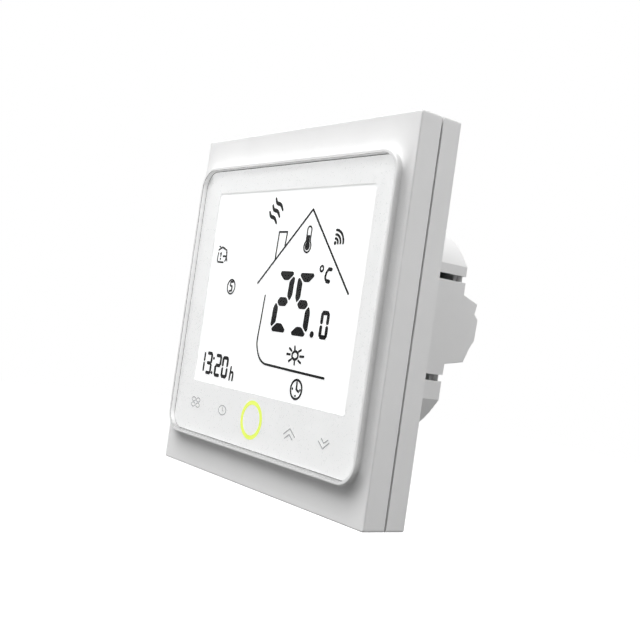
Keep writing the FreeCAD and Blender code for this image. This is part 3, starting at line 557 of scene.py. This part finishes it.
def flat_piece(name, material, front, back, slabs, bands):
    """Object made of slabs and bands between two y planes in millimetres."""
    bm = bmesh.new()
    for outline in slabs:
        add_slab(bm, outline, front, back)
    for left, right, closed in bands:
        add_band(bm, left, right, front, back, closed)
    bmesh.ops.remove_doubles(bm, verts=bm.verts, dist=WELD_DISTANCE)
    bmesh.ops.recalc_face_normals(bm, faces=bm.faces)
    mesh = bpy.data.meshes.new(name)
    bm.to_mesh(mesh)
    bm.free()
    mesh.materials.append(material)
    piece = bpy.data.objects.new(name, mesh)
    bpy.context.scene.collection.objects.link(piece)
    return piece


def artwork(name, material, y, slabs=(), bands=()):
    """One printed or lit symbol on the front module; y is its back, in millimetres."""
    piece = flat_piece(name, material, y - PRINT_T, y, slabs, bands)
    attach(piece, FRONT)


def rounded(outline, radius, steps=4):
    """Outline with every corner turned into a short arc."""
    points = []
    count = len(outline)
    for index in range(count):
        corner = Vector(outline[index])
        before = Vector(outline[index - 1]) - corner
        after = Vector(outline[(index + 1) % count]) - corner
        reach = min(radius, before.length * 0.45, after.length * 0.45)
        start = corner + before.normalized() * reach
        end = corner + after.normalized() * reach
        for step in range(steps + 1):
            t = step / steps
            points.append(tuple(start * (1 - t) ** 2 + corner * 2 * t * (1 - t) + end * t * t))
    return points


def curve_through(points, steps=8):
    """Smooth line through a few points."""
    padded = [Vector(points[0])] + [Vector(p) for p in points] + [Vector(points[-1])]
    line = []
    for index in range(1, len(padded) - 2):
        p0, p1, p2, p3 = padded[index - 1:index + 3]
        for step in range(steps):
            t = step / steps
            line.append(0.5 * (2 * p1 + (p2 - p0) * t + (2 * p0 - 5 * p1 + 4 * p2 - p3) * t * t
                               + (3 * p1 - p0 - 3 * p2 + p3) * t ** 3))
    line.append(padded[-2])
    return [tuple(p) for p in line]


def arc(cx, cz, rx, start, end, rz=None, steps=20):
    """Part of an ellipse, in degrees counted from +X towards +Z."""
    rz = rx if rz is None else rz
    angles = [math.radians(start + (end - start) * step / steps) for step in range(steps + 1)]
    return [(cx + rx * math.cos(a), cz + rz * math.sin(a)) for a in angles]


def stroke(points, width, taper=0.0):
    """Line of the given width with round ends, as a band. taper thins it towards both ends."""
    line = [Vector(p) for p in points]
    last = len(line) - 1
    directions = []
    for index in range(last + 1):
        ahead = line[min(index + 1, last)] - line[max(index - 1, 0)]
        directions.append(ahead.normalized())
    end_half = width / 2 * (1 - taper)
    left, right = [], []

    def pair(centre, direction, half):
        side = Vector((-direction.y, direction.x)) * half
        left.append(tuple(centre + side))
        right.append(tuple(centre - side))

    def cap(centre, direction, turns):
        for turn in turns:
            half = max(end_half * math.cos(turn), LEAST_HALF)
            pair(centre + direction * end_half * math.sin(turn), direction, half)

    quarter = [math.pi / 2 * step / CAP_STEPS for step in range(1, CAP_STEPS + 1)]
    cap(line[0], directions[0], [-turn for turn in reversed(quarter)])
    for index, point in enumerate(line):
        middle = 1 - abs(2 * index / last - 1)
        miter = 1.0
        if 0 < index < last:
            inward = (line[index] - line[index - 1]).normalized()
            miter = 1 / max(0.5, inward.dot(directions[index]))
        pair(point, directions[index], (end_half + (width / 2 - end_half) * middle) * miter)
    cap(line[-1], directions[-1], quarter)
    return left, right, False


def ring(cx, cz, rx, width, rz=None, steps=48):
    """Closed elliptical band around a centre, measured to the middle of its width."""
    rz = rx if rz is None else rz
    outer = arc(cx, cz, rx + width / 2, 0, 360, rz + width / 2, steps)[:-1]
    inner = arc(cx, cz, rx - width / 2, 0, 360, rz - width / 2, steps)[:-1]
    return outer, inner, True


def dot(cx, cz, radius, steps=24):
    """Filled round outline."""
    return arc(cx, cz, radius, 0, 360, steps=steps)[:-1]


def digit_segments(digit, x, z, width, height, thick):
    """Outlines of a large seven-segment digit whose lower left corner is at x, z."""
    middle = height / 2
    t = thick
    top = [(0.32 * t, height - 0.32 * t), (0.52 * t, height), (width - 0.52 * t, height),
           (width - 0.32 * t, height - 0.32 * t), (width - 1.2 * t, height - t), (1.2 * t, height - t)]
    upper_right = [(width - 0.28 * t, height - 0.52 * t), (width, height - 0.72 * t),
                   (width - 0.03 * t, middle + 0.75 * t), (width - 0.42 * t, middle + 0.12 * t),
                   (width - 0.98 * t, middle + 0.68 * t), (width - 0.96 * t, height - 1.08 * t)]
    bar = [(0.6 * t, middle), (1.05 * t, middle + 0.5 * t), (width - 1.05 * t, middle + 0.5 * t),
           (width - 0.6 * t, middle), (width - 1.05 * t, middle - 0.5 * t), (1.05 * t, middle - 0.5 * t)]

    def flipped_x(outline):
        return [(width - px, pz) for px, pz in outline]

    def flipped_z(outline):
        return [(px, height - pz) for px, pz in outline]

    shapes = {"a": top, "b": upper_right, "c": flipped_z(upper_right), "d": flipped_z(top),
              "e": flipped_x(flipped_z(upper_right)), "f": flipped_x(upper_right), "g": bar}
    return [rounded([(x + px + DIGIT_SLANT * (pz - middle), z + pz) for px, pz in shapes[key]], 0.22 * t)
            for key in SEGMENTS[digit]]


def small_digit(digit, x, z, width, height, thick):
    """Strokes of a small seven-segment digit whose lower left corner is at x, z."""
    middle = height / 2
    left, right = 0.5 * thick, width - 0.5 * thick
    low, high = 0.9 * thick, height - 0.9 * thick
    lines = {
        "a": ((0.85 * thick, height - 0.5 * thick), (width - 0.85 * thick, height - 0.5 * thick)),
        "b": ((right, high), (right, middle + 0.6 * thick)),
        "c": ((right, middle - 0.6 * thick), (right, low)),
        "d": ((0.85 * thick, 0.5 * thick), (width - 0.85 * thick, 0.5 * thick)),
        "e": ((left, middle - 0.6 * thick), (left, low)),
        "f": ((left, high), (left, middle + 0.6 * thick)),
        "g": ((0.95 * thick, middle), (width - 0.95 * thick, middle)),
    }
    return [stroke([(x + px, z + pz) for px, pz in lines[key]], thick) for key in SEGMENTS[digit]]


def display_artwork(ink):
    """All segments of the display."""
    y = DISPLAY_Y
    artwork("digit_tens", ink, y, digit_segments("2", 0.45, -5.6, 7.0, 14.3, 2.1))
    artwork("digit_units", ink, y, digit_segments("5", 8.65, -5.9, 6.9, 14.4, 2.1))
    artwork("decimal_point", ink, y, [dot(17.2, -5.1, 0.75)])
    artwork("digit_tenths", ink, y, bands=small_digit("0", 19.7, -5.9, 3.2, 6.35, 1.0))
    artwork("degree_mark", ink, y, bands=[
        ring(17.5, 9.65, 0.6, 0.5, 0.62),
        stroke([(20.2, 9.6), (21.05, 9.55)], 0.85),
        stroke(curve_through([(20.2, 9.6), (19.5, 8.9), (19.2, 7.9), (19.45, 7.2)]), 0.66),
        stroke([(19.9, 6.9), (20.7, 6.85)], 0.95)])
    house_artwork(ink, y)
    weather_artwork(ink, y)
    status_artwork(ink, y)
    clock_artwork(ink, y)


def house_artwork(ink, y):
    """House outline, chimney and the thermometer inside it."""
    artwork("house_roof", ink, y, bands=[
        stroke([(-7.8, 5.5), (11.0, 23.1)], 0.52), stroke([(11.0, 23.1), (28.2, 4.5)], 0.52)])
    wall = [(-3.8, 2.6), (-4.1, -3.0), (-4.45, -7.9), (-4.05, -9.9), (-2.75, -12.0), (-1.1, -13.1),
            (0.3, -13.5)]
    floor_line = [(0.3, -13.5), (12.0, -13.85), (23.9, -14.15)]
    artwork("house_wall", ink, y, bands=[stroke(curve_through(wall), 0.5), stroke(floor_line, 0.56)])
    chimney = [(-1.75, 11.5), (-1.55, 17.95), (1.85, 17.95), (1.6, 14.5)]
    artwork("house_chimney", ink, y, bands=[
        stroke(chimney[index:index + 2], 0.46) for index in range(3)])
    round_top = arc(10.75, 18.4, 0.8, 180, 0, steps=12)
    tube = [(9.95, 15.6), (9.95, 18.35)] + round_top + [(11.55, 18.35), (11.55, 15.6)]
    bulb = arc(10.7, 14.55, 1.35, 130, 410, steps=32)
    filling = rounded([(10.2, 14.9), (10.2, 17.2), (11.25, 17.2), (11.25, 14.9)], 0.15)
    outlines = [stroke(tube, 0.42), stroke(bulb, 0.42)]
    artwork("thermometer", ink, y, [dot(10.65, 14.6, 0.95), filling], outlines)


def weather_artwork(ink, y):
    """Rising heat waves and the sun."""
    waves = [
        [(-5.0, 26.1), (-4.25, 25.0), (-2.6, 24.5), (-1.5, 23.2)],
        [(-6.0, 24.45), (-5.3, 23.4), (-3.6, 22.9), (-2.5, 21.6)],
        [(-7.0, 22.9), (-6.25, 21.8), (-4.6, 21.3), (-3.5, 20.1)],
    ]
    artwork("heat_waves", ink, y, bands=[stroke(curve_through(wave, 10), 1.0, 0.4) for wave in waves])
    rays = [
        ((13.95, -10.35), (15.35, -10.3)), ((10.0, -10.25), (8.75, -10.25)),
        ((11.7, -9.05), (11.5, -8.3)), ((12.1, -11.7), (12.2, -12.35)),
        ((13.25, -9.3), (14.1, -8.9)), ((10.4, -9.35), (9.5, -8.85)),
        ((13.5, -11.35), (14.5, -11.8)), ((10.7, -11.3), (9.85, -11.8)),
    ]
    disc = ring(12.0, -10.3, 1.15, 0.6, 0.9)
    artwork("sun_mark", ink, y, bands=[disc] + [stroke(ray, 0.55) for ray in rays])


def status_artwork(ink, y):
    """Radio, home mode and heating-stage marks."""
    waves = [stroke(arc(20.95, 15.35, radius, 90, 0, steps=16), 0.58) for radius in (1.05, 1.95, 2.95)]
    artwork("radio_mark", ink, y, [dot(21.0, 15.4, 0.45)], waves)
    artwork("home_mark", ink, y, [dot(-27.35, 11.05, 0.3), dot(-24.6, 12.75, 0.35)], [
        stroke([(-28.75, 13.35), (-26.95, 14.1), (-24.7, 13.3)], 0.46),
        stroke([(-28.55, 14.35), (-27.9, 14.1)], 0.4),
        stroke([(-28.75, 12.55), (-28.8, 10.6)], 0.46),
        stroke([(-28.5, 10.25), (-25.75, 10.15)], 0.46),
        stroke([(-27.7, 12.4), (-27.3, 12.7), (-27.35, 11.7)], 0.42),
        stroke([(-26.1, 11.75), (-24.9, 11.75)], 0.5),
        stroke([(-24.5, 12.5), (-24.45, 11.5), (-24.9, 10.5)], 0.5),
        stroke([(-24.45, 11.5), (-24.0, 10.6)], 0.42)])
    figure = [(-19.3, 5.3), (-20.45, 5.3), (-20.45, 4.35), (-19.6, 4.2), (-19.55, 3.1), (-20.6, 2.95)]
    artwork("stage_mark", ink, y, bands=[ring(-20.0, 4.05, 1.8, 0.42), stroke(figure, 0.5)])


def clock_artwork(ink, y):
    """Time of day and the timer symbol."""
    artwork("time_tens_of_hours", ink, y, bands=small_digit("1", -30.65, -18.6, 3.1, 5.6, 0.75))
    artwork("time_hours", ink, y, bands=small_digit("3", -26.95, -18.85, 3.0, 5.85, 0.88))
    artwork("time_colon", ink, y, [dot(-23.3, -14.5, 0.42), dot(-23.45, -18.2, 0.42)])
    artwork("time_tens_of_minutes", ink, y, bands=small_digit("2", -22.45, -19.0, 3.1, 5.85, 0.88))
    artwork("time_minutes", ink, y, bands=small_digit("0", -19.0, -18.95, 3.05, 5.55, 0.88))
    bow = curve_through([(-14.45, -17.3), (-13.6, -17.0), (-13.15, -17.5), (-13.25, -18.95)])
    stem = [(-14.4, -15.8), (-14.6, -18.95)]
    artwork("time_hour_mark", ink, y, bands=[stroke(stem, 0.62), stroke(bow, 0.62)])
    hours = [dot(12.85, -17.75, 0.3), dot(15.8, -17.75, 0.3), dot(14.25, -19.2, 0.3)]
    hands = stroke([(14.3, -16.2), (14.4, -17.75), (15.3, -18.15)], 0.6)
    artwork("timer_mark", ink, y, hours, [ring(14.3, -17.75, 2.15, 0.55), hands])


# ---------------------------------------------------------------- key symbols
def key_artwork(ink):
    """The four printed symbols, and the painted glow that the lit ring casts on the print."""
    y = KEYS_Y
    # painted glow on the print around the lit ring
    glow = ring(RING_X, RING_Z, RING_R, RING_GLOW_W)
    artwork("key_ring_glow", MATERIALS["ring_acrylic"], y, bands=[glow])
    petals = [ring(-28.85 + x, -26.5 + z, 0.95, 0.22, 0.52) for x in (-1.15, 1.15) for z in (-0.68, 0.68)]
    artwork("key_mode", ink, y, bands=petals)
    artwork("key_timer", ink, y, bands=[
        ring(-15.3, -26.7, 1.75, 0.24, 1.15),
        stroke([(-15.3, -26.0), (-15.25, -26.7), (-14.8, -26.9)], 0.22)])
    arrows = {
        "key_up": ([(12.3, -28.1), (14.5, -26.55), (16.7, -28.2)],
                   [(12.9, -28.95), (14.45, -27.9), (15.8, -28.85)]),
        "key_down": ([(25.5, -27.5), (27.3, -28.85), (29.3, -27.25)],
                     [(26.4, -26.75), (27.4, -27.6), (28.8, -26.75)]),
    }
    for name, lines in arrows.items():
        artwork(name, ink, y, bands=[stroke(line, 0.26) for line in lines])


# ---------------------------------------------------------------- moulded and stamped marks
def relief(name, node, front, back, slabs=(), bands=(), body=BASE):
    """Raised mark in the finish of the CAD node that it stands on, between two y planes."""
    slot = next(part["material_slot"] for part in frame["record"]["subparts"] if part["node"] == node)
    piece = flat_piece(name, MATERIALS[slot], front, back, slabs, bands)
    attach(piece, body)


def terminal_numbers(material):
    """Raised and inked numbers over the wire entries, the same as the clamps' own."""
    low, high = (Vector((0, *edge)) for edge in NUMBER_FACE)
    upright = (high - low).normalized()
    right = Vector((-1, 0, 0))
    turn = Matrix((right, upright, right.cross(upright))).transposed().to_4x4()
    for number in range(1, 7):
        name = "terminal_number_%d" % number
        cage_low, cage_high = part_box("terminal_cage_%d" % number)
        data = bpy.data.curves.new(name, "FONT")
        data.body = str(number)
        data.size = NUMBER_SIZE
        data.extrude = NUMBER_RELIEF
        data.align_x = "CENTER"
        data.align_y = "CENTER"
        data.materials.append(material)
        piece = bpy.data.objects.new(name, data)
        place = (low + high) / 2 * MM
        place.x = (cage_low.x + cage_high.x) / 2
        piece.matrix_world = Matrix.Translation(place) @ turn
        bpy.context.scene.collection.objects.link(piece)
        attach(piece, BASE)


def moulded_marks():
    """Ejector rings on the box's back, an arrow stamped in the steel and rings on the cover."""
    for name, back, z in BOX_BACKS:
        rings = [ring(x, z, 1.6, 0.3) for x in (-13.0, 0.0, 13.0)]
        front, top = back - MARK_ROOT, back + BOX_RING_RISE
        relief("box_ejector_rings_" + name, "power_box_shell", front, top, bands=rings)
    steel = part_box("mounting_plate")[0].y / MM
    arrow = rounded([
        (0.0, 36.6), (-2.6, 33.4), (-0.9, 33.4), (-0.9, 30.0), (0.9, 30.0), (0.9, 33.4), (2.6, 33.4)], 0.25)
    relief("plate_arrow", "mounting_plate", steel - ARROW_RISE, steel + MARK_ROOT, [arrow])
    front, top = COVER_BACK_Y - MARK_ROOT, COVER_BACK_Y + COVER_RING_RISE
    rings = [ring(x, z, 1.5, 0.3) for x in (-12.0, 12.0) for z in (-30.0, 30.0)]
    relief("cover_ejector_rings", "module_back_cover", front, top, bands=rings, body=FRONT)


# ---------------------------------------------------------------- studio
def add_camera():
    """Camera at the angle and distance of the product view."""
    azimuth = math.radians(CAMERA_AZIMUTH)
    elevation = math.radians(CAMERA_ELEVATION)
    roll = math.radians(CAMERA_ROLL)
    back = Vector((math.sin(azimuth) * math.cos(elevation), -math.cos(azimuth) * math.cos(elevation),
                   math.sin(elevation)))
    level = Vector((0, 0, 1)).cross(back).normalized()
    upright = back.cross(level)
    right = level * math.cos(roll) + upright * math.sin(roll)
    up = upright * math.cos(roll) - level * math.sin(roll)
    data = bpy.data.cameras.new("camera")
    data.lens = CAMERA_LENS
    data.clip_start = 0.01
    camera = bpy.data.objects.new("camera", data)
    rotation = Matrix((right, up, back)).transposed().to_4x4()
    camera.matrix_world = Matrix.Translation(CAMERA_PLACE) @ rotation
    bpy.context.scene.collection.objects.link(camera)
    bpy.context.scene.camera = camera


def add_softbox(name, azimuth, elevation, power):
    """Square area light around the thermostat, aimed at it. Azimuth 0 is straight in front."""
    turn, rise = math.radians(azimuth), math.radians(elevation)
    place = SOFTBOX_DISTANCE * Vector((math.sin(turn) * math.cos(rise), -math.cos(turn) * math.cos(rise),
                                       math.sin(rise)))
    data = bpy.data.lights.new(name, "AREA")
    data.shape = "SQUARE"
    data.size = SOFTBOX_SIZE
    data.energy = power
    lamp = bpy.data.objects.new(name, data)
    lamp.location = place
    lamp.rotation_mode = "QUATERNION"
    lamp.rotation_quaternion = (-place).to_track_quat("-Z", "Y")
    bpy.context.scene.collection.objects.link(lamp)


def add_world():
    """Surround seen as plain white: it lifts what faces down and gives gloss something pale to mirror."""
    world = bpy.data.worlds.new("studio")
    bpy.context.scene.world = world
    world.use_nodes = True
    tree = world.node_tree
    tree.nodes.clear()
    height = axes_of(tree, tree.nodes.new("ShaderNodeTexCoord").outputs["Generated"])["Z"]
    below = ramp(tree, remap(tree, height, 0.0, 1.0, -1.0, 1.0), [
        (0.0, (LIGHT_BELOW,) * 3), (0.5, (LIGHT_LEVEL,) * 3), (1.0, (LIGHT_LEVEL,) * 3)])
    rays = tree.nodes.new("ShaderNodeLightPath")
    surround = world_light(tree, 1.0)
    tree.links.new(below, surround.node.inputs["Color"])
    for ray, strength in (("Is Glossy Ray", LIGHT_MIRRORED), ("Is Camera Ray", 1.0)):
        surround = mix_shaders(tree, rays.outputs[ray], surround, world_light(tree, strength))
    output = tree.nodes.new("ShaderNodeOutputWorld")
    tree.links.new(surround, output.inputs[0])


def world_light(tree, strength):
    """Even white world light."""
    node = tree.nodes.new("ShaderNodeBackground")
    node.inputs["Color"].default_value = (1.0, 1.0, 1.0, 1.0)
    node.inputs["Strength"].default_value = strength
    return node.outputs[0]


def add_floor():
    """Wide pale floor under the thermostat."""
    bm = bmesh.new()
    bmesh.ops.create_grid(bm, x_segments=8, y_segments=8, size=FLOOR_HALF)
    mesh = bpy.data.meshes.new("floor")
    bm.to_mesh(mesh)
    bm.free()
    material, tree, shader = new_material("floor_paint")
    tone = ramp(tree, noise(tree, 6.0, 2.0), [(0.3, (0.93, 0.93, 0.93)), (0.7, (0.95, 0.95, 0.95))])
    tree.links.new(tone, shader.inputs["Base Color"])
    shader.inputs["Emission Color"].default_value = (1.0, 1.0, 1.0, 1.0)
    shader.inputs["Emission Strength"].default_value = 1.0
    shader.inputs["Roughness"].default_value = 0.9
    mesh.materials.append(material)
    floor = bpy.data.objects.new("floor", mesh)
    floor.location.z = CAD_BOX[0].z - FLOOR_DROP
    floor.visible_diffuse = False
    floor.visible_glossy = False
    bpy.context.scene.collection.objects.link(floor)


def add_studio():
    """Camera, lights, surround and floor."""
    add_camera()
    add_world()
    add_floor()
    for softbox in SOFTBOXES:
        add_softbox(*softbox)
    bpy.context.scene.view_settings.view_transform = "Standard"


finish_cad_nodes()
display_artwork(DARK_INK)
key_artwork(KEY_INK)
terminal_numbers(DARK_INK)
moulded_marks()
add_studio()
